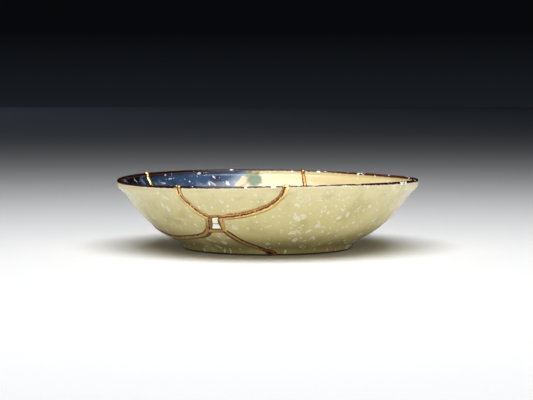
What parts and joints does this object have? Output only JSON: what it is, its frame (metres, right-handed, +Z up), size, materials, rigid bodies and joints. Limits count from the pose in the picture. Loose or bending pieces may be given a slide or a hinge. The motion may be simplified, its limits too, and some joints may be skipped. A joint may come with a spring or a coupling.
{
  "type": "kintsugi dish",
  "caption": "Low round glazed dish on a foot ring, broken and rejoined with raised gold seams, open above to hold food or small things.",
  "frame": {"origin": "centre of the dish's underside, on the surface that its foot ring stands on", "axes": "+Z up along the dish's axis, -Y towards the side with the filled chip (the picture's front), +X to the right seen from the front"},
  "size_m": [0.182, 0.1824, 0.0436],
  "materials": {
    "glazed_stoneware": "pale celadon glaze with whitish flecks, glossy",
    "gold_lacquer": "lacquer resin dusted with gold powder and burnished"
  },
  "bodies": {
    "root": {"shard_front": "glazed_stoneware", "shard_left": "glazed_stoneware", "shard_right": "glazed_stoneware", "shard_back_base": "glazed_stoneware", "gold_seam": "gold_lacquer"}
  },
  "joints": []
}
